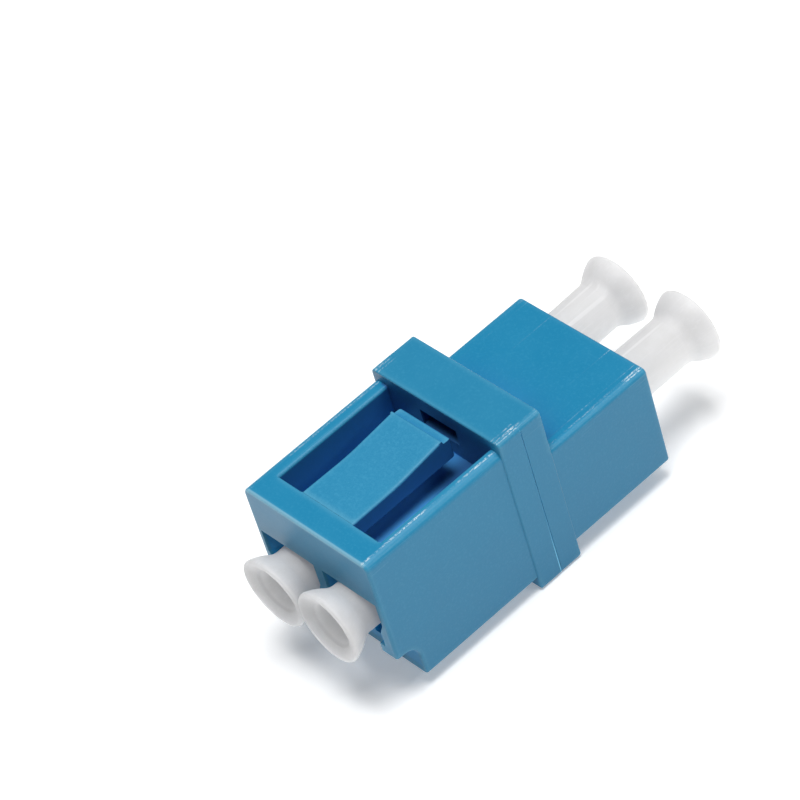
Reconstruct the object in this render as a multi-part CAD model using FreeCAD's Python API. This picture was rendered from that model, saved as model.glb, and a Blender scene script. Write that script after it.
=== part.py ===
import FreeCAD, Part
import math
import os

# Duplex LC fibre adapter with dust plugs and a snap-in panel tongue.
#
# Frame: millimetres. +X to the right seen from the front, +Y from the front
# ports to the rear ports, +Z up. The origin is midway between the two port
# axes, in the plane where the panel seats against the front of the flange.

V = FreeCAD.Vector

# ---------------------------------------------------------------- dimensions
PITCH = 6.25             # distance between the two port axes
PX = PITCH / 2.0

Y_FRONT = -12.30         # front face
Y_PANEL = 0.0            # front of the flange, where the panel seats
Y_SEAM = 1.95            # joint between the housing halves, optical plane
Y_FLANGE = 3.90          # back of the flange
Y_REAR = 13.08           # rear face

FB_HW = 6.28             # front body: half width
FB_TOP = 6.13            # front body: top of the hump that holds the tongue
FB_BOT = -6.22           # front body: underside
RB_HW = 6.30             # rear body: half width
RB_TOP = 3.14
RB_BOT = -5.85
FL_HW_F = 6.38           # flange half width, front half
FL_HW_R = 6.36           # flange half width, rear half
FL_TOP = 7.00
FL_BOT = -7.36
SEAM_W = 0.08            # groove at the joint line, sides and underside
SEAM_D = 0.05

R_TOP_F = 0.60           # long top edges of the front body
R_TOP_R = 0.42           # long top edges of the rear body
R_FLANGE = 0.38          # long top edges of the flange
R_FACE = 0.22            # rim of the front and rear faces
R_BOT = 0.28             # long bottom edges

# panel tongue window in the top of the front body; its left wall is thicker
WIN_XL = -4.92
WIN_XR = 5.27
WIN_Y0 = -10.15
WIN_FLOOR = 2.98
R_WIN_SIDE = 0.24        # inner top edges of the side walls
R_WIN_BAR = 0.06         # top edge of the front bar, beside the tongue
# slot in the flange bar behind the tip of the tongue
CORE_HW = 1.80
CORE_BOT = 4.30
CORE_TOP = 5.70

# ports
PORT_H = 2.25            # half width of the square port
PORT_V = 2.20            # half height of the square port
SLOT_H = 1.68            # half width of the latch slot under it
SLOT_BOT = -4.90
FLARE = 0.45             # side lead-in at the mouth, upper part only
FLARE_D = 1.00
R_PORT = 0.15
WEB = 1.10               # wall between the port floor and the seam
LUG_H = 2.40             # half width of the latch lug pockets
LUG_Z0, LUG_Z1 = -4.35, -3.00
LUG_S0, LUG_S1 = 4.60, 7.80    # pocket, measured from the seam
SLOT_S = 2.30            # end of the latch slot, measured from the seam

# finger notch under the front ports
NOTCH_D = 1.83
NOTCH_TOP = -3.09
NOTCH_R = 1.20

# ferrule sleeves and the tubes that hold them
TUBE_R = 1.45
TUBE_L = 4.00            # tip, measured from the seam
TUBE_BORE = 0.875
LIP_BORE = 0.70
LIP_T = 0.60
LIP_CH = 0.25
SLEEVE_R = 0.81
SLEEVE_BORE = 0.625
SLEEVE_L = 6.60
SLEEVE_SLIT = 0.25

# dust plug (all four alike)
PLUG_L = 15.20
PLUG_R = 1.95            # barrel
PLUG_RIM = 2.84
PLUG_BELL = 1.90         # length of the flared end
PLUG_BORE = 1.54         # bore that slips over the sleeve tube
PLUG_BORE_D = 4.60
PLUG_HOLE = 1.42         # blind hole in the outer end
PLUG_HOLE_D = 7.60
# the plugs sit loose on their tubes: where each rim centre lies. Side, x of
# the port, sideways lean at the rim, lean up at the rim, y of the rim
PIVOT_FRONT = -0.80      # middle of the tube length each plug bears on
PIVOT_REAR = 5.20
PLUG_SEATS = {
    "dust_plug_front_left": (-1, -PX, 0.26, -0.26, -14.69),
    "dust_plug_front_right": (-1, PX, -0.18, 0.26, -14.77),
    "dust_plug_rear_left": (1, -PX, -0.33, 0.27, 19.42),
    "dust_plug_rear_right": (1, PX, 0.06, 0.06, 19.95),
}

# panel tongue
TG_X = 0.07              # middle of the tongue
TG_HW0 = 2.58            # half width at the root
TG_HW1 = 2.47            # half width at the tip
TG_GAP = 0.012           # running gap at the root
TG_RELIEF = 0.26         # set-back of the root face at the underside
TG_BEND_Y = -6.00
TG_CREST_Y = -1.70       # raised edge that holds the panel
TG_CREST_Z = 6.66
TG_LIP_Y = -0.98         # end of the tongue
TG_LIP_Z = 6.36
TG_BOT0 = 4.82           # underside at the root
TG_BOT1 = 4.72           # underside at the tip
R_TONGUE = 0.17          # long top edges
R_TIP = 0.28             # upright corners at the tip


# ------------------------------------------------------------------- helpers
def box(x0, x1, y0, y1, z0, z1):
    return Part.makeBox(x1 - x0, y1 - y0, z1 - z0, V(x0, y0, z0))


def cyl(r, x, z, y0, y1):
    return Part.makeCylinder(r, y1 - y0, V(x, y0, z), V(0, 1, 0))


def prism(points, vec):
    wire = Part.makePolygon([V(*p) for p in points] + [V(*points[0])])
    return Part.Face(wire).extrude(V(*vec))


def edges_of(shape, test):
    out = []
    for e in shape.Edges:
        if len(e.Vertexes) != 2:
            continue
        a, b = e.Vertexes[0].Point, e.Vertexes[1].Point
        if test(a, b):
            out.append(e)
    return out


def near(a, b, t=1e-4):
    return abs(a - b) < t


def both(a, b, axis, value):
    return near(getattr(a, axis), value) and near(getattr(b, axis), value)


def along(a, b, axis):
    rest = [c for c in "xyz" if c != axis]
    return all(near(getattr(a, c), getattr(b, c)) for c in rest)


def fillet(shape, r, test):
    es = edges_of(shape, test)
    if not es:
        raise RuntimeError("no edge found for a radius of %.2f" % r)
    return shape.makeFillet(r, es)


def chamfer(shape, c, test):
    es = edges_of(shape, test)
    if not es:
        raise RuntimeError("no edge found for a chamfer of %.2f" % c)
    return shape.makeChamfer(c, es)


def revolve_y(profile, x):
    """Closed (radius, y) profile turned about the port axis at x."""
    edges = []
    n = len(profile)
    for i in range(n):
        a, b = profile[i], profile[(i + 1) % n]
        if len(b) == 4:                      # arc through (b2, b3) to (b0, b1)
            edges.append(Part.Arc(V(x + a[0], a[1], 0), V(x + b[2], b[3], 0),
                                  V(x + b[0], b[1], 0)).toShape())
        else:
            edges.append(Part.makeLine(V(x + a[0], a[1], 0),
                                       V(x + b[0], b[1], 0)))
    face = Part.Face(Part.Wire(edges))
    return face.revolve(V(x, 0, 0), V(0, 1, 0), 360)


def rounded_block(hw, z0, z1, y0, y1, r_top, r_bot, y_end, r_end):
    """Bar along Y with rounded long edges and one softened end at y_end."""
    def arc(cx, cz, r, a0, a1):
        p = []
        for a in (a0, (a0 + a1) / 2.0, a1):
            t = math.radians(a)
            p.append(V(cx + r * math.cos(t), y0, cz + r * math.sin(t)))
        return Part.Arc(*p).toShape()

    e = [
        Part.makeLine(V(hw, y0, z0 + r_bot), V(hw, y0, z1 - r_top)),
        arc(hw - r_top, z1 - r_top, r_top, 0, 90),
        Part.makeLine(V(hw - r_top, y0, z1), V(-hw + r_top, y0, z1)),
        arc(-hw + r_top, z1 - r_top, r_top, 90, 180),
        Part.makeLine(V(-hw, y0, z1 - r_top), V(-hw, y0, z0 + r_bot)),
        arc(-hw + r_bot, z0 + r_bot, r_bot, 180, 270),
        Part.makeLine(V(-hw + r_bot, y0, z0), V(hw - r_bot, y0, z0)),
        arc(hw - r_bot, z0 + r_bot, r_bot, 270, 360),
    ]
    bar = Part.Face(Part.Wire(e)).extrude(V(0, y1 - y0, 0))
    return bar.makeFillet(r_end, edges_of(bar, lambda a, b: both(a, b, "y", y_end)))


def edge_wedge(hw, y, z, c, s):
    """Prism that takes a chamfer c off the lower edge of a flange face."""
    pts = [(-hw - 1, y + s * 1.0, z - 1.0), (-hw - 1, y + s * 1.0, z + c + 1.0),
           (-hw - 1, y - s * (c + 1.0), z - 1.0)]
    return prism(pts, (2 * hw + 2, 0, 0))


# ------------------------------------------------------------ port cavities
def port_cut(x, y_mouth):
    """Everything taken out of a housing half for one port."""
    s = 1.0 if y_mouth > Y_SEAM else -1.0
    y_floor = Y_SEAM + s * WEB
    y_over = y_mouth + s * 1.0

    def span(a, b):
        return (min(a, b), max(a, b))

    y0, y1 = span(y_floor, y_over)
    sq = box(x - PORT_H, x + PORT_H, y0, y1, -PORT_V, PORT_V)
    sq = sq.makeFillet(R_PORT, edges_of(sq, lambda a, b: along(a, b, "y")))
    y0, y1 = span(Y_SEAM + s * SLOT_S, y_over)
    slot = box(x - SLOT_H, x + SLOT_H, y0, y1, SLOT_BOT, -PORT_V + 0.5)
    y0, y1 = span(Y_SEAM + s * LUG_S0, Y_SEAM + s * LUG_S1)
    lug = box(x - LUG_H, x + LUG_H, y0, y1, LUG_Z0, LUG_Z1)
    cut = sq.fuse([slot, lug])
    # side lead-ins, widest at the mouth and only beside the upper half
    for side in (-1, 1):
        a = x + side * (PORT_H - 0.4)
        b = x + side * PORT_H
        c = x + side * (PORT_H + FLARE)
        low, mid, top = -0.75, 0.15, PORT_V - 0.02
        ym = y_mouth + s * 0.001
        yd = y_mouth - s * FLARE_D
        pm = [V(a, ym, low), V(b, ym, low), V(c, ym, mid), V(c, ym, top),
              V(a, ym, top)]
        pd = [V(a, yd, low), V(b, yd, low), V(b + side * 0.01, yd, mid),
              V(b + side * 0.01, yd, top), V(a, yd, top)]
        wm = Part.makePolygon(pm + [pm[0]])
        wd = Part.makePolygon(pd + [pd[0]])
        cut = cut.fuse(Part.makeLoft([wm, wd], True, True))
    return cut


def sleeve_tube(x, s):
    """Tube that holds half of the alignment sleeve; s is -1 front, +1 rear."""
    tip = Y_SEAM + s * TUBE_L
    root = Y_SEAM + s * (WEB - 0.3)
    y0, y1 = min(tip, root), max(tip, root)
    t = cyl(TUBE_R, x, 0, y0, y1)
    return t.makeChamfer(0.18, [e for e in t.Edges if e.Closed and
                                near(e.Vertexes[0].Point.y, tip)])


def sleeve_bore(x, s):
    tip = Y_SEAM + s * TUBE_L
    lip = Y_SEAM + s * (TUBE_L - LIP_T)
    y0, y1 = min(lip, Y_SEAM - s * 0.5), max(lip, Y_SEAM - s * 0.5)
    b = cyl(TUBE_BORE, x, 0, y0, y1)
    y0, y1 = min(tip + s * 0.5, lip - s * 0.1), max(tip + s * 0.5, lip - s * 0.1)
    b = b.fuse(cyl(LIP_BORE, x, 0, y0, y1))
    cone = Part.makeCone(LIP_BORE + LIP_CH, LIP_BORE, LIP_CH,
                         V(x, tip, 0), V(0, -s, 0))
    return b.fuse(cone)


# ------------------------------------------------------------- front housing
def front_housing():
    body = rounded_block(FB_HW, FB_BOT, FB_TOP, Y_FRONT, Y_PANEL + 0.5,
                         R_TOP_F, R_BOT, Y_FRONT, R_FACE)

    # finger notch: a quarter-round corner taken out below the ports
    n0 = Y_FRONT + NOTCH_D
    notch = box(-FB_HW - 1, FB_HW + 1, Y_FRONT - 1, n0, FB_BOT - 1, NOTCH_TOP)
    notch = fillet(notch, NOTCH_R, lambda a, b: along(a, b, "x") and
                   both(a, b, "y", n0) and both(a, b, "z", NOTCH_TOP))
    body = body.cut(notch)
    body = fillet(body, 0.18, lambda a, b: both(a, b, "y", n0) and
                  both(a, b, "z", FB_BOT) and abs(a.x - b.x) > 5)

    # flange, front half
    fl = rounded_block(FL_HW_F, FL_BOT, FL_TOP, Y_PANEL, Y_SEAM,
                       R_FLANGE, 0.35, Y_PANEL, 0.14)
    fl = fl.cut(edge_wedge(FL_HW_F, Y_PANEL, FL_BOT, 0.30, -1))
    shell = body.fuse(fl)

    # window for the tongue, open up to the flange
    win = box(WIN_XL, WIN_XR, WIN_Y0, Y_PANEL, WIN_FLOOR, FB_TOP + 1)
    shell = shell.cut(win)
    core = box(-CORE_HW, CORE_HW, Y_PANEL - 0.5, Y_SEAM + 1, CORE_BOT, CORE_TOP)
    shell = shell.cut(core)

    # softened inner top edges of the side walls, then the upright corners
    shell = fillet(shell, R_WIN_SIDE, lambda a, b: along(a, b, "y") and
                   both(a, b, "z", FB_TOP) and
                   (near(a.x, WIN_XL) or near(a.x, WIN_XR)) and
                   abs(a.y - b.y) > 5)
    # front bar edge left of and right of the tongue, broken by a small bevel
    for x0, x1 in ((WIN_XL, TG_X - TG_HW0 - 0.02), (TG_X + TG_HW0 + 0.02, WIN_XR)):
        shell = shell.cut(prism([(x0, WIN_Y0 + 0.001, FB_TOP - R_WIN_BAR),
                                 (x0, WIN_Y0 + 0.001, FB_TOP + 0.001),
                                 (x0, WIN_Y0 - R_WIN_BAR, FB_TOP + 0.001)],
                                (x1 - x0, 0, 0)))

    for x in (-PX, PX):
        shell = shell.cut(port_cut(x, Y_FRONT))
    for x in (-PX, PX):
        shell = shell.fuse(sleeve_tube(x, -1))
    for x in (-PX, PX):
        shell = shell.cut(sleeve_bore(x, -1))
    return shell.removeSplitter()


# -------------------------------------------------------------- rear housing
def rear_housing():
    body = rounded_block(RB_HW, RB_BOT, RB_TOP, Y_FLANGE - 0.5, Y_REAR,
                         R_TOP_R, R_BOT, Y_REAR, R_FACE)
    fl = rounded_block(FL_HW_R, FL_BOT, FL_TOP, Y_SEAM, Y_FLANGE,
                       R_FLANGE, 0.35, Y_FLANGE, 0.12)
    fl = fl.cut(edge_wedge(FL_HW_R, Y_FLANGE, FL_BOT, 0.40, 1))
    # shallow groove round the flange at the joint line, top left plain
    ring = box(-FL_HW_R - 1, FL_HW_R + 1, Y_SEAM - 1, Y_SEAM + SEAM_W,
               FL_BOT - 1, FL_TOP - R_FLANGE)
    ring = ring.cut(rounded_block(FL_HW_R - SEAM_D, FL_BOT + SEAM_D,
                                  FL_TOP + 2, Y_SEAM - 2, Y_SEAM + 1,
                                  0.30, 0.35 - SEAM_D, Y_SEAM + 1, 0.01))
    fl = fl.cut(ring)
    shell = body.fuse(fl)
    for x in (-PX, PX):
        shell = shell.cut(port_cut(x, Y_REAR))
    for x in (-PX, PX):
        shell = shell.fuse(sleeve_tube(x, 1))
    for x in (-PX, PX):
        shell = shell.cut(sleeve_bore(x, 1))
    return shell.removeSplitter()


# ---------------------------------------------------------- alignment sleeve
def alignment_sleeve(x):
    y0, y1 = Y_SEAM - SLEEVE_L / 2.0, Y_SEAM + SLEEVE_L / 2.0
    c = 0.08
    prof = [(SLEEVE_BORE + c, y0), (SLEEVE_R - c, y0), (SLEEVE_R, y0 + c),
            (SLEEVE_R, y1 - c), (SLEEVE_R - c, y1), (SLEEVE_BORE + c, y1),
            (SLEEVE_BORE, y1 - c), (SLEEVE_BORE, y0 + c)]
    tube = revolve_y(prof, x)
    slit = box(x - SLEEVE_SLIT / 2.0, x + SLEEVE_SLIT / 2.0, y0 - 1, y1 + 1,
               0.0, SLEEVE_R + 1)
    return tube.cut(slit)


# ----------------------------------------------------------------- dust plug
def dust_plug(s, x, lean_x, lean_z, y_rim):
    """Blind trumpet-ended cap; s is the way its rim faces, -1 front, +1 rear.

    The profile is (radius, distance in from the rim)."""
    bell = PLUG_BELL
    prof = [
        (0.0, PLUG_HOLE_D),
        (PLUG_HOLE - 0.42, PLUG_HOLE_D),
        (PLUG_HOLE - 0.12, PLUG_HOLE_D - 0.34, PLUG_HOLE - 0.20, PLUG_HOLE_D - 0.10),
        (PLUG_HOLE, 1.60),
        (PLUG_HOLE + 0.42, 0.36, PLUG_HOLE + 0.08, 0.86),
        (PLUG_RIM - 0.40, 0.06),
        (PLUG_RIM - 0.16, 0.0, PLUG_RIM - 0.28, 0.01),
        (PLUG_RIM, 0.20, PLUG_RIM - 0.04, 0.07),
        (PLUG_RIM - 0.04, 0.40, PLUG_RIM - 0.005, 0.30),
        (PLUG_R + 0.30, bell - 0.42, PLUG_R + 0.62, bell - 0.94),
        (PLUG_R, bell + 0.40, PLUG_R + 0.075, bell - 0.02),
        (PLUG_R, PLUG_L - 0.30),
        (PLUG_R - 0.14, PLUG_L),
        (PLUG_BORE + 0.16, PLUG_L),
        (PLUG_BORE, PLUG_L - 0.30),
        (PLUG_BORE, PLUG_L - PLUG_BORE_D),
        (0.0, PLUG_L - PLUG_BORE_D),
    ]
    out = []
    for p in prof:
        q = (p[0], -s * p[1])
        if len(p) == 4:
            q = q + (p[2], -s * p[3])
        out.append(q)
    plug = revolve_y(out, 0.0)
    # lean the plug about the middle of its tube
    rim = V(x + lean_x, y_rim, lean_z)
    pivot = V(x, PIVOT_FRONT if s < 0 else PIVOT_REAR, 0)
    turn = FreeCAD.Rotation(V(0, s, 0), rim.sub(pivot))
    plug.Placement = FreeCAD.Placement(rim, turn)
    return plug


# -------------------------------------------------------------- panel tongue
def latch_tongue():
    """Sprung tongue that snaps over the panel, hinged at the front bar.

    Its root face leans back below the top edge, so that the tongue can bend
    down about that edge without meeting the bar."""
    y_root = WIN_Y0 + TG_GAP
    z_top = FB_TOP
    r = 0.10
    pts = []

    def line(a, b):
        pts.append(Part.makeLine(V(0, *a), V(0, *b)))

    def arc(a, m, b):
        pts.append(Part.Arc(V(0, *a), V(0, *m), V(0, *b)).toShape())

    slope = (TG_CREST_Z - z_top) / (TG_CREST_Y - TG_BEND_Y)
    t = 1.1                                    # blend length at the bend
    a0 = (TG_BEND_Y - t, z_top)
    a1 = (TG_BEND_Y + t, z_top + slope * t)
    am = (TG_BEND_Y, z_top + slope * t * 0.26)
    c0 = (TG_CREST_Y - 0.16, TG_CREST_Z - slope * 0.16)
    cm = (TG_CREST_Y - 0.035, TG_CREST_Z - 0.05)
    c1 = (TG_CREST_Y, TG_CREST_Z - 0.16)
    s0 = (TG_CREST_Y + 0.03, TG_LIP_Z + 0.09)
    sm = (TG_CREST_Y + 0.055, TG_LIP_Z + 0.03)
    s1 = (TG_CREST_Y + 0.12, TG_LIP_Z)
    l0 = (TG_LIP_Y - 0.20, TG_LIP_Z - 0.02)
    lm = (TG_LIP_Y - 0.06, TG_LIP_Z - 0.07)
    l1 = (TG_LIP_Y, TG_LIP_Z - 0.20)
    b0 = (TG_LIP_Y - 0.02, TG_BOT1 + 0.20)
    bm = (TG_LIP_Y - 0.08, TG_BOT1 + 0.06)
    b1 = (TG_LIP_Y - 0.22, TG_BOT1)
    r0 = (y_root + TG_RELIEF, TG_BOT0)
    r1 = (y_root, z_top)
    line(r1, a0)
    arc(a0, am, a1)
    line(a1, c0)
    arc(c0, cm, c1)
    line(c1, s0)
    arc(s0, sm, s1)
    line(s1, l0)
    arc(l0, lm, l1)
    line(l1, b0)
    arc(b0, bm, b1)
    line(b1, r0)
    line(r0, r1)
    side = Part.Face(Part.Wire(pts))
    side.translate(V(-4, 0, 0))
    blade = side.extrude(V(8, 0, 0))

    # plan outline: slight taper towards the tip, rounded corners
    k = (TG_HW1 - TG_HW0) / (TG_LIP_Y - y_root)

    def hw(y):
        return TG_HW0 + k * (y - y_root)

    yb = y_root - 0.2
    outline = Part.makePolygon([V(*q) for q in (
        (TG_X - hw(yb), yb, 0), (TG_X + hw(yb), yb, 0),
        (TG_X + hw(TG_LIP_Y), TG_LIP_Y, 0), (TG_X - hw(TG_LIP_Y), TG_LIP_Y, 0),
        (TG_X - hw(yb), yb, 0))])
    plan = Part.Face(outline).extrude(V(0, 0, 12))
    plan = plan.makeFillet(R_TIP, edges_of(plan, lambda a, b: along(a, b, "z") and
                                           a.y > TG_LIP_Y - 0.5))
    tongue = blade.common(plan)
    # softened long top edges
    es = [ed for ed in tongue.Edges
          if len(ed.Vertexes) == 2 and
          min(ed.Vertexes[0].Point.z, ed.Vertexes[1].Point.z) > z_top - 0.01 and
          min(abs(ed.Vertexes[0].Point.x), abs(ed.Vertexes[1].Point.x)) > 2.2 and
          ed.Vertexes[0].Point.x * ed.Vertexes[1].Point.x > 0 and
          max(ed.Vertexes[0].Point.y, ed.Vertexes[1].Point.y) < TG_CREST_Y - 0.1]
    return tongue.makeFillet(R_TONGUE, es)


# --------------------------------------------------------------------- build
def build():
    nodes = {
        "front_housing": front_housing(),
        "rear_housing": rear_housing(),
        "latch_tongue": latch_tongue(),
        "alignment_sleeve_left": alignment_sleeve(-PX),
        "alignment_sleeve_right": alignment_sleeve(PX),
    }
    for name, seat in PLUG_SEATS.items():
        nodes[name] = dust_plug(*seat)
    return nodes


def main():
    os.makedirs("parts", exist_ok=True)
    for name, shape in build().items():
        solids = shape.Solids
        if len(solids) == 1:
            shape = solids[0]
        b = shape.BoundBox
        print("%-24s valid=%s solids=%d vol=%.3f  x %.2f..%.2f y %.2f..%.2f z %.2f..%.2f"
              % (name, shape.isValid(), len(solids), shape.Volume,
                 b.XMin, b.XMax, b.YMin, b.YMax, b.ZMin, b.ZMax))
        shape.exportStep("parts/%s.step" % name)


main()
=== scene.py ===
import math
import bpy
import bmesh
import numpy as np
from mathutils import Matrix, Vector


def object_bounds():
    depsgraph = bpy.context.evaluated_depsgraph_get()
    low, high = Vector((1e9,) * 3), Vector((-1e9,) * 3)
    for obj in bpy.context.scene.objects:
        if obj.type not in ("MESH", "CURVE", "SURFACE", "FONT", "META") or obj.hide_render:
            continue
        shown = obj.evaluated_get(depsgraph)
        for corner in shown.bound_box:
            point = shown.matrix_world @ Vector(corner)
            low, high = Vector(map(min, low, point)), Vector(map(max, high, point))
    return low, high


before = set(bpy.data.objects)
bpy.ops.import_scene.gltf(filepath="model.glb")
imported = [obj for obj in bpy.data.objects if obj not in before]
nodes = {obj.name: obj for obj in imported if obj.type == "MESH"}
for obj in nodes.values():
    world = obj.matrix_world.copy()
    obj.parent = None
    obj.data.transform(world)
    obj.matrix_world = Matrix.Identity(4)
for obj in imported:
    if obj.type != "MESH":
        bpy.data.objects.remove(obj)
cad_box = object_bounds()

MM = 0.001
scene = bpy.context.scene


# ------------------------------------------------------------------ node help
class Mat:
    """Small builder for a procedural material."""

    def __init__(self, name):
        self.m = bpy.data.materials.new(name)
        self.m.use_nodes = True
        self.t = self.m.node_tree
        self.t.nodes.clear()
        self.out = self.t.nodes.new("ShaderNodeOutputMaterial")
        self.b = self.t.nodes.new("ShaderNodeBsdfPrincipled")
        self.t.links.new(self.b.outputs[0], self.out.inputs[0])

    def n(self, kind, **kw):
        node = self.t.nodes.new(kind)
        for k, v in kw.items():
            setattr(node, k, v)
        return node

    def link(self, a, b):
        self.t.links.new(a, b)

    def put(self, sock, v):
        if isinstance(v, bpy.types.NodeSocket):
            self.link(v, sock)
        else:
            sock.default_value = v

    def math(self, op, a, b=0.0, c=0.0, clamp=False):
        node = self.n("ShaderNodeMath", operation=op, use_clamp=clamp)
        self.put(node.inputs[0], a)
        self.put(node.inputs[1], b)
        self.put(node.inputs[2], c)
        return node.outputs[0]

    def coords(self):
        return self.n("ShaderNodeTexCoord").outputs["Object"]

    def xyz(self, v):
        s = self.n("ShaderNodeSeparateXYZ")
        self.put(s.inputs[0], v)
        return s.outputs[0], s.outputs[1], s.outputs[2]

    def scaled(self, v, scale, offset=(0, 0, 0)):
        mp = self.n("ShaderNodeMapping")
        self.put(mp.inputs[0], v)
        mp.inputs["Scale"].default_value = scale
        mp.inputs["Location"].default_value = offset
        return mp.outputs[0]

    def noise(self, v, scale, detail=2.0, rough=0.5, dist=0.0):
        node = self.n("ShaderNodeTexNoise")
        self.put(node.inputs["Vector"], v)
        node.inputs["Scale"].default_value = scale
        node.inputs["Detail"].default_value = detail
        node.inputs["Roughness"].default_value = rough
        node.inputs["Distortion"].default_value = dist
        return node.outputs[0]

    def ramp(self, v, lo, hi, a=0.0, b=1.0, smooth=True):
        node = self.n("ShaderNodeMapRange")
        node.interpolation_type = "SMOOTHSTEP" if smooth else "LINEAR"
        self.put(node.inputs["Value"], v)
        self.put(node.inputs["From Min"], lo)
        self.put(node.inputs["From Max"], hi)
        self.put(node.inputs["To Min"], a)
        self.put(node.inputs["To Max"], b)
        return node.outputs[0]

    def mixc(self, f, a, b, blend="MIX"):
        node = self.n("ShaderNodeMix", data_type="RGBA", blend_type=blend)
        self.put(node.inputs[0], f)
        self.put(node.inputs[6], a)
        self.put(node.inputs[7], b)
        return node.outputs[2]

    def bump(self, height, strength, distance, normal=None):
        node = self.n("ShaderNodeBump")
        node.inputs["Strength"].default_value = strength
        node.inputs["Distance"].default_value = distance
        self.put(node.inputs["Height"], height)
        if normal is not None:
            self.put(node.inputs["Normal"], normal)
        return node.outputs[0]


def rgb(r, g, b):
    """sRGB 0-255 to a linear colour."""
    def f(c):
        c = c / 255.0
        return c / 12.92 if c <= 0.04045 else ((c + 0.055) / 1.055) ** 2.4
    return (f(r), f(g), f(b), 1.0)


# ------------------------------------------------------------------ materials
BLUE = (0.0155, 0.234, 0.425, 1.0)
BLUE_LIGHT = (0.040, 0.300, 0.500, 1.0)
BLUE_DEEP = (0.0115, 0.210, 0.395, 1.0)
# painted shade colour for the window recess walls
BLUE_RECESS_SHADE = (0.0200, 0.142, 0.400, 1.0)
# rubbed-pale blue, also used as painted highlight on the edges
BLUE_WEAR_AND_HIGHLIGHT = (0.170, 0.470, 0.620, 1.0)
# painted sheen colour for the long edge rounds
BLUE_ROUND_SHEEN = (0.045, 0.330, 0.530, 1.0)
# painted light colour for the shaded port interiors
BLUE_PORT_LIGHT = (0.0100, 0.270, 0.620, 1.0)
# painted light and shade colours for the window recess floor and back wall
BLUE_SHADED_FLOOR_L = (0.0240, 0.190, 0.480, 1.0)
BLUE_LIT_FLOOR_R = (0.0700, 0.340, 0.760, 1.0)
BLUE_BACK_SHADOW = (0.0220, 0.100, 0.270, 1.0)
FILM = (0.120, 0.190, 0.170, 1.0)
# near-white for scuffs and painted glints on the edges
SCUFF_GLINT = (0.72, 0.86, 0.92, 1.0)


def occlusion(m, dist, inside, samples=6):
    ao = m.n("ShaderNodeAmbientOcclusion", inside=inside, only_local=inside, samples=samples)
    ao.inputs["Distance"].default_value = dist
    return ao.outputs["AO"]


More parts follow.
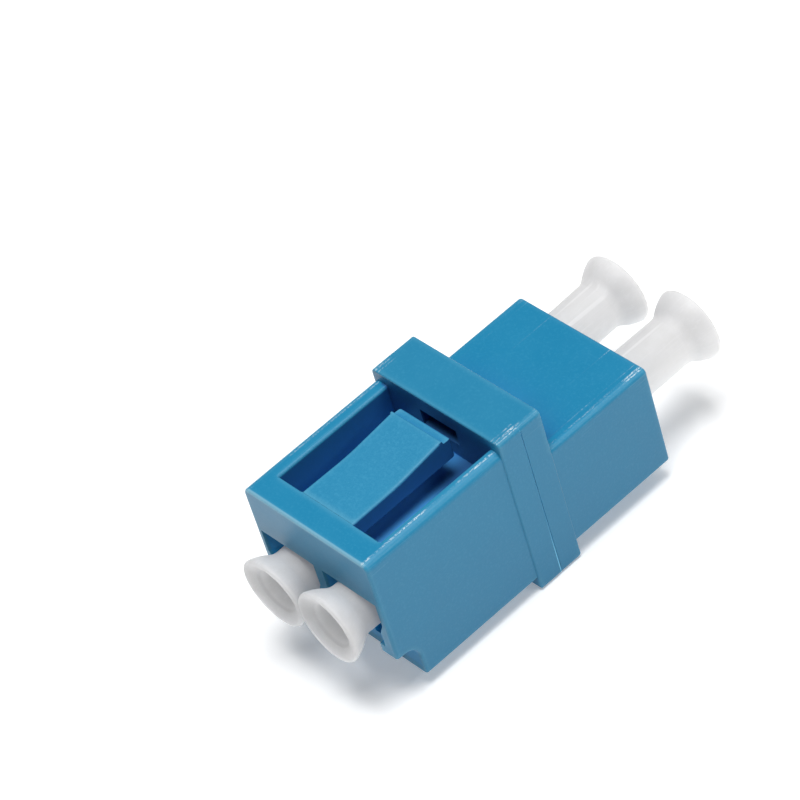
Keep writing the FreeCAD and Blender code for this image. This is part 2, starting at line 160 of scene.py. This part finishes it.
def blue_plastic(name, corner, grain=0.34, grain_size=5200.0, rough=(0.29, 0.36),
                 scuff_and_glint=1.0, pale=0.0):
    """corner lists each long top edge: y from, y to, right x, top z, radius in mm, then
    its scuffs and painted glint lines."""
    m = Mat(name)
    co = m.coords()
    x, y, z = m.xyz(co)
    cloud = m.noise(co, 260.0, 3.0, 0.55)
    soft = m.noise(co, 900.0, 3.0, 0.6)
    fine = m.noise(co, grain_size, 2.0, 0.6)
    grit = m.noise(co, 9000.0, 2.0, 0.7)

    # worn edges with painted highlight: the plastic is lighter where corners have rubbed, and this lightening
    # also stands in for the highlight along the edges
    edge = occlusion(m, 0.00055, True)
    edge_wear_highlight = m.ramp(edge, 0.50, 0.93, 1.0, 0.0)
    # none along the joint between the halves
    joint = m.math("ABSOLUTE", m.math("SUBTRACT", y, 1.95 * MM))
    edge_wear_highlight = m.math("MULTIPLY", edge_wear_highlight, m.ramp(joint, 0.40 * MM, 0.65 * MM))
    # the sharper front top edge of the body is rubbed pale and carries a painted highlight line
    rim_wear_highlight = m.math("SUBTRACT", z, y)
    rim_wear_highlight = m.ramp(rim_wear_highlight, (12.30 + 6.13 - 0.26) * MM, (12.30 + 6.13 - 0.15) * MM)
    # painted shade: recesses in the window, where the wide occlusion is low, take deeper blue shade colours
    shade = occlusion(m, 0.0060, False, 8)
    recess_shade = m.ramp(shade, 0.42, 0.93, 1.0, 0.0)
    low = m.math("MAXIMUM", m.ramp(z, 5.82 * MM, 6.03 * MM, 1.0, 0.0),
                 m.ramp(y, -0.30 * MM, -0.10 * MM))
    if pale > 0:
        low = 1.0
    win = m.math("MULTIPLY", m.ramp(z, 2.70 * MM, 2.90 * MM), m.ramp(y, -10.40 * MM, -10.20 * MM))
    win = m.math("MULTIPLY", win, m.ramp(m.math("ABSOLUTE", x), 5.35 * MM, 5.55 * MM, 1.0, 0.0))
    recess_shade = m.math("MULTIPLY", recess_shade, m.math("MULTIPLY", low, win))
    # painted light: shaded faces inside the ports take a brighter blue
    port_light = m.math("MULTIPLY", m.ramp(m.math("ABSOLUTE", x), 5.9 * MM, 6.1 * MM, 1.0, 0.0),
                  m.ramp(z, 2.6 * MM, 2.8 * MM, 1.0, 0.0))
    port_light = m.math("MULTIPLY", port_light, m.ramp(y, -12.22 * MM, -12.0 * MM))
    port_light = m.math("MULTIPLY", port_light, m.ramp(z, -5.60 * MM, -5.30 * MM))
    port_light = m.math("MULTIPLY", port_light, m.ramp(shade, 0.30, 0.80, 1.0, 0.0))

    # scuffs with painted glints, drawn lengthwise on the top of each long edge round and just inside it
    hair = m.noise(m.scaled(co, (16000.0, 260.0, 16000.0)), 1.0, 1.0, 0.5)
    dash = m.noise(m.scaled(co, (12000.0, 5200.0, 12000.0), (3.1, 7.7, 1.3)), 1.0, 2.0, 0.6)
    patch = m.noise(m.scaled(co, (300.0, 330.0, 300.0), (0.4, 0.0, 2.0)), 1.0, 2.0, 0.5)
    scuff_glint_lines = None
    weak = None
    round_sheen = None
    for y0, y1, xe, ze, r, lines in corner:
        here = m.math("MULTIPLY", m.ramp(y, y0 * MM, (y0 + 0.05) * MM, smooth=False),
                      m.ramp(y, (y1 - 0.05) * MM, y1 * MM, 1.0, 0.0, smooth=False))
        c = xe - ze
        for side in (1.0, -1.0):
            xs = m.math("MULTIPLY", x, side)
            s_ = m.math("ADD", xs, z)
            d_ = m.math("SUBTRACT", xs, z)
            for off, core, fade, w0, w1 in lines:
                dl = c - off
                line = m.ramp(m.math("ABSOLUTE", m.math("SUBTRACT", d_, dl * MM)),
                              core * MM, fade * MM, 1.0, 0.0)
                top = dl + 2.0 * ze
                line = m.math("MULTIPLY", line, m.ramp(s_, (top - 0.14) * MM, (top - 0.08) * MM))
                line = m.math("MULTIPLY", line, here)
                line = m.math("MULTIPLY", line, m.ramp(y, y0 * MM, y1 * MM, w0, w1, smooth=False))
                if side < 0:
                    line = m.math("MULTIPLY", line, 0.35)
                scuff_glint_lines = line if scuff_glint_lines is None else m.math("MAXIMUM", scuff_glint_lines, line)
            # a wider, fainter band on the flat beside the edge
            mid = xe + ze - 0.586 * r
            flat = m.math("MULTIPLY", here, m.ramp(s_, (mid - 1.6) * MM, (mid - 0.3) * MM, 0.0, 0.8))
            weak = flat if weak is None else m.math("MAXIMUM", weak, flat)
            # painted sheen on the round itself
            rnd = m.ramp(m.math("ABSOLUTE", m.math("SUBTRACT", d_, (c - 0.35 * r) * MM)),
                         0.45 * r * MM, 0.95 * r * MM, 1.0, 0.0)
            rnd = m.math("MULTIPLY", m.math("MULTIPLY", rnd, here),
                         m.ramp(s_, (mid - 0.50 * r) * MM, (mid - 0.30 * r) * MM))
            round_sheen = rnd if round_sheen is None else m.math("MAXIMUM", round_sheen, rnd)
    dashes = m.math("MULTIPLY", m.ramp(dash, 0.43, 0.60, 0.06, 1.0), m.ramp(patch, 0.42, 0.60, 0.10, 1.0))
    scuff_glint = m.math("MULTIPLY", scuff_glint_lines, dashes)
    scuff_glint = m.math("MULTIPLY", scuff_glint, scuff_and_glint, clamp=True)
    hairs = m.math("MULTIPLY", m.ramp(hair, 0.60, 0.70), m.ramp(patch, 0.46, 0.60))
    hairs = m.math("MULTIPLY", m.math("MULTIPLY", hairs, weak), scuff_and_glint, clamp=True)

    col = m.mixc(m.ramp(cloud, 0.25, 0.75, 0.60, 1.0), BLUE_DEEP, BLUE)
    col = m.mixc(m.ramp(fine, 0.46, 0.78, 0.0, 0.34 + 0.22 * pale), col, BLUE_LIGHT)
    if pale > 0:
        col = m.mixc(m.ramp(grit, 0.35, 0.75, 0.0, 0.40 * pale), col, BLUE_LIGHT)
    # painted sheen on the long edge rounds
    col = m.mixc(m.math("MULTIPLY", round_sheen, 0.22 * min(scuff_and_glint, 1.0)), col, BLUE_ROUND_SHEEN)
    # worn edges with painted highlight
    col = m.mixc(m.math("MULTIPLY", edge_wear_highlight, 0.26), col, BLUE_WEAR_AND_HIGHLIGHT)
    # rubbed-pale front top edge with a painted highlight line
    col = m.mixc(m.math("MULTIPLY", rim_wear_highlight, 0.62 * min(scuff_and_glint, 1.0)), col, (0.30, 0.56, 0.68, 1.0))
    # painted light and shade for the window recess: a lit right floor, a shaded left floor and a shadowed back
    # wall
    tint = m.mixc(m.ramp(x, -3.0 * MM, 3.0 * MM), BLUE_SHADED_FLOOR_L, BLUE_LIT_FLOOR_R)
    tint = m.mixc(m.math("MULTIPLY", m.ramp(y, -4.6 * MM, -2.0 * MM), m.ramp(x, 0.5 * MM, 2.5 * MM)),
                  tint, BLUE_BACK_SHADOW)
    tint = m.mixc(m.ramp(z, 3.02 * MM, 3.30 * MM), tint, BLUE_RECESS_SHADE)
    tint = m.mixc(m.math("MULTIPLY", m.ramp(z, 3.02 * MM, 3.30 * MM),
                         m.ramp(y, -0.20 * MM, -0.05 * MM)), tint, BLUE_BACK_SHADOW)
    col = m.mixc(m.ramp(z, 6.60 * MM, 6.95 * MM, 0.0, 0.07 * min(scuff_and_glint, 1.0)), col, FILM)
    # a little deeper towards the underside
    col = m.mixc(m.ramp(z, -6.5 * MM, 5.0 * MM, 0.20, 0.0, smooth=False), col, (0.0, 0.04, 0.10, 1.0))
    # painted shade in the window recess
    col = m.mixc(recess_shade, col, tint)
    # painted light inside the joint groove, lifting its shade
    groove_light = m.math("MULTIPLY", m.ramp(joint, 0.050 * MM, 0.070 * MM, 1.0, 0.0),
                    m.ramp(shade, 0.70, 0.96, 1.0, 0.0))
    col = m.mixc(groove_light, col, (0.20, 0.62, 0.88, 1.0))
    # painted light inside the ports
    col = m.mixc(m.math("MULTIPLY", port_light, 0.95), col, BLUE_PORT_LIGHT)
    col = m.mixc(m.math("MULTIPLY", hairs, 0.30), col, BLUE_WEAR_AND_HIGHLIGHT)
    # scuffs with painted glints
    col = m.mixc(m.math("MULTIPLY", scuff_glint, 0.92), col, SCUFF_GLINT)
    m.put(m.b.inputs["Base Color"], col)
    r = m.ramp(cloud, 0.2, 0.8, rough[0], rough[1])
    r = m.math("ADD", r, m.math("MULTIPLY", m.ramp(soft, 0.3, 0.7), 0.04))
    r = m.math("SUBTRACT", r, m.math("MULTIPLY", scuff_glint, 0.14))
    m.put(m.b.inputs["Roughness"], r)
    m.b.inputs["IOR"].default_value = 1.50
    m.b.inputs["Specular IOR Level"].default_value = 0.37
    b1 = m.bump(fine, grain, 0.00002)
    b2 = m.bump(m.math("ADD", scuff_glint, hairs), 0.30, 0.00001, b1)
    m.put(m.b.inputs["Normal"], b2)
    return m.m


def white_plastic(name, tint=1.0, glow=0.0, mouth_glow=0.0, drawn=0.0, under_glow=0.0, axes=()):
    """Milky soft plastic; glow is a painted glow standing in for light soaking through the whole plug,
    and the mouth setting a painted glow standing in for light soaking through the wall into its open end."""
    m = Mat(name)
    co = m.coords()
    x, y, z = m.xyz(co)
    cloud = m.noise(co, 420.0, 3.0, 0.5)
    mottle = m.noise(co, 1500.0, 3.0, 0.6)
    fine = m.noise(co, 4200.0, 2.0, 0.6)
    hair = m.noise(m.scaled(co, (7000.0, 300.0, 7000.0)), 1.0, 2.0, 0.5)
    drag = m.noise(m.scaled(co, (2000.0, 60.0, 2000.0), (0.3, 0.0, 5.0)), 1.0, 1.0, 0.5)

    def g(v, w=1.018):
        return (v * tint, v * tint, v * w * tint, 1)

    col = m.mixc(m.ramp(cloud, 0.3, 0.7), g(0.655), g(0.70))
    col = m.mixc(m.ramp(mottle, 0.35, 0.70, 0.0, 0.35), col, g(0.62, 1.0))
    col = m.mixc(m.ramp(hair, 0.55, 0.70, 0.0, 0.30), col, g(0.76))
    # pale drag lines along the barrel
    barrel = m.ramp(y, 16.9 * MM, 17.9 * MM, 1.0, 0.0)
    lines = m.math("MULTIPLY", m.ramp(drag, 0.58, 0.68), m.math("MULTIPLY", barrel, drawn))
    col = m.mixc(lines, col, g(0.92))
    inside = None
    for ax, az in axes:
        dx = m.math("SUBTRACT", x, ax * MM)
        dz = m.math("SUBTRACT", z, az * MM)
        rad = m.math("SQRT", m.math("ADD", m.math("MULTIPLY", dx, dx), m.math("MULTIPLY", dz, dz)))
        spot = m.ramp(rad, 1.62 * MM, 1.75 * MM, 1.0, 0.0)
        inside = spot if inside is None else m.math("MAXIMUM", inside, spot)
    m.put(m.b.inputs["Base Color"], col)
    m.put(m.b.inputs["Roughness"], m.ramp(cloud, 0.2, 0.8, 0.40, 0.52))
    m.b.inputs["IOR"].default_value = 1.46
    m.b.inputs["Specular IOR Level"].default_value = 0.36
    m.b.inputs["Subsurface Weight"].default_value = 0.85
    m.b.inputs["Subsurface Radius"].default_value = (1.0, 0.97, 0.95)
    m.b.inputs["Subsurface Scale"].default_value = 0.0030
    m.b.inputs["Emission Color"].default_value = (1.0, 1.0, 0.985, 1.0)
    shine = glow
    if inside is not None:
        shine = m.math("ADD", m.math("MULTIPLY", inside, mouth_glow), glow)
    if under_glow > 0:
        # painted glow: the side turned down to the white ground is lit by emission, standing in for fill from it
        # through the plug
        nx, ny, nz = m.xyz(m.n("ShaderNodeTexCoord").outputs["Normal"])
        down = m.math("SUBTRACT", m.math("MULTIPLY", nx, 0.72), m.math("MULTIPLY", nz, 0.69))
        shine = m.math("ADD", shine, m.ramp(down, -0.15, 0.90, 0.0, under_glow))
    m.put(m.b.inputs["Emission Strength"], shine)
    b1 = m.bump(fine, 0.20, 0.00002)
    m.put(m.b.inputs["Normal"], m.bump(m.math("ADD", hair, lines), 0.12, 0.00002, b1))
    return m.m


def ceramic(name):
    m = Mat(name)
    co = m.coords()
    cloud = m.noise(co, 900.0, 3.0, 0.5)
    fine = m.noise(co, 6000.0, 2.0, 0.5)
    col = m.mixc(m.ramp(cloud, 0.3, 0.7), (0.78, 0.77, 0.71, 1), (0.84, 0.83, 0.78, 1))
    m.put(m.b.inputs["Base Color"], col)
    m.put(m.b.inputs["Roughness"], m.ramp(cloud, 0.3, 0.7, 0.14, 0.22))
    m.b.inputs["IOR"].default_value = 2.1
    m.put(m.b.inputs["Normal"], m.bump(fine, 0.05, 0.00001))
    return m.m


def floor_mat(name):
    m = Mat(name)
    co = m.coords()
    cloud = m.noise(co, 30.0, 4.0, 0.6)
    m.put(m.b.inputs["Base Color"], m.mixc(cloud, (0.90, 0.90, 0.90, 1), (0.92, 0.92, 0.92, 1)))
    m.b.inputs["Roughness"].default_value = 0.75
    m.b.inputs["Specular IOR Level"].default_value = 0.2
    m.b.inputs["Emission Color"].default_value = (1.0, 1.0, 1.0, 1.0)
    m.b.inputs["Emission Strength"].default_value = 0.26
    return m.m


def assign(obj, mat):
    if not obj.material_slots:
        obj.data.materials.append(mat)
    for s in obj.material_slots:
        s.material = mat


# long top edges of each housing half: y from, y to, side x, top z, radius (mm), then
# the scuffs and painted glint lines: how far round the edge, half width, fade, strength at either end
FRONT_EDGES = [
    (-12.3, -0.02, 6.28, 6.13, 0.60, ((0.54, 0.045, 0.120, 0.75, 1.05),
                                      (0.20, 0.030, 0.090, 0.10, 0.95))),
    (0.02, 1.95, 6.38, 7.00, 0.38, ((0.44, 0.045, 0.120, 1.3, 0.8),
                                    (0.20, 0.030, 0.090, 1.0, 0.6),
                                    (0.74, 0.025, 0.080, 0.9, 0.5)))]
REAR_EDGES = [
    (1.95, 3.88, 6.36, 7.00, 0.38, ((0.40, 0.035, 0.100, 0.7, 0.6),
                                    (0.16, 0.020, 0.080, 0.4, 0.4))),
    (3.92, 13.1, 6.30, 3.14, 0.42, ((0.52, 0.045, 0.125, -1.00, 1.30),
                                    (0.46, 0.025, 0.085, 0.30, 0.30),
                                    (0.29, 0.030, 0.095, -0.80, 1.05),
                                    (0.96, 0.015, 0.060, 0.05, 0.45),
                                    (3.40, 0.015, 0.065, -0.50, 0.45)))]
blue_f = blue_plastic("blue_front", FRONT_EDGES)
blue_r = blue_plastic("blue_rear", REAR_EDGES)
blue_t = blue_plastic("blue_tongue", [(-9.0, -1.6, 2.60, 6.30, 0.17, ((0.1, 0.02, 0.06, 0.0, 0.0),))], grain=0.55,
                      grain_size=4200.0, rough=(0.46, 0.56), scuff_and_glint=0.0, pale=1.0)
# the rear plugs carry a stronger painted glow than the front ones
white_f = white_plastic("plug_plastic_front", tint=0.80, glow=0.035, mouth_glow=0.085,
                        axes=((-2.865, -0.26), (2.945, 0.26)))
white_r = white_plastic("plug_plastic_rear", tint=0.73, glow=0.150, drawn=0.42, under_glow=0.17)
zirc = ceramic("sleeve_ceramic")

for n, o in nodes.items():
    if n.startswith("dust_plug"):
        assign(o, white_f if "front" in n else white_r)
    elif n.startswith("alignment"):
        assign(o, zirc)
    elif n == "latch_tongue":
        assign(o, blue_t)
    elif n == "front_housing":
        assign(o, blue_f)
    else:
        assign(o, blue_r)

# ----------------------------------------------------------------------- floor
lo, hi = cad_box
bpy.ops.mesh.primitive_plane_add(size=2.0, location=(0, 0, lo.z - 0.00002))
floor = bpy.context.object
floor.name = "floor"
assign(floor, floor_mat("floor_pale"))

# ---------------------------------------------------------------------- lights
def area(name, direction, dist, size, power, color=(1, 1, 1), target=(0, 0.002, 0)):
    d = Vector(direction).normalized()
    data = bpy.data.lights.new(name, "AREA")
    data.shape = "RECTANGLE"
    data.size, data.size_y = size
    data.energy = power
    data.color = color
    o = bpy.data.objects.new(name, data)
    scene.collection.objects.link(o)
    o.location = Vector(target) + d * dist
    o.rotation_euler = (-d).to_track_quat("-Z", "Y").to_euler()
    return o


area("key_top", (0.06, -0.04, 1.0), 0.50, (0.25, 0.25), 2.55)
area("streak", (0.69, 0.37, 0.62), 0.45, (0.20, 0.012), 0.26)
area("streak_high", (0.27, 0.37, 0.89), 0.45, (0.20, 0.008), 0.12)
area("fill_left", (-0.75, -0.55, 0.35), 0.60, (0.30, 0.20), 0.08)

world = bpy.data.worlds.new("studio")
world.use_nodes = True
bg = world.node_tree.nodes["Background"]
bg.inputs[0].default_value = (1.0, 1.0, 1.0, 1.0)
bg.inputs[1].default_value = 0.06
scene.world = world
scene.view_settings.view_transform = "Standard"
scene.view_settings.look = "None"

# ---------------------------------------------------------------------- camera
cam_data = bpy.data.cameras.new("camera")
cam = bpy.data.objects.new("camera", cam_data)
scene.collection.objects.link(cam)


def rodrigues(v):
    v = np.array(v, float)
    a = np.linalg.norm(v)
    k = v / a
    K = np.array([[0, -k[2], k[1]], [k[2], 0, -k[0]], [-k[1], k[0], 0]])
    return np.eye(3) + math.sin(a) * K + (1 - math.cos(a)) * K @ K


CAM_TURN = (2.26635837, 0.86470774, -0.66075977)
CAM_POS = (175.99599, -104.92513, 201.56378)
R = rodrigues(CAM_TURN)
W = R.T @ np.diag([1.0, -1.0, -1.0])
mat = Matrix(W.tolist()).to_4x4()
mat.translation = Vector(CAM_POS) * MM
cam.matrix_world = mat
cam_data.sensor_width = 36.0
cam_data.lens = 190.87866
cam_data.shift_x = 0.012017
cam_data.shift_y = -0.005468
cam_data.clip_start = 0.01
cam_data.clip_end = 5.0
cam_data.dof.use_dof = False
scene.camera = cam
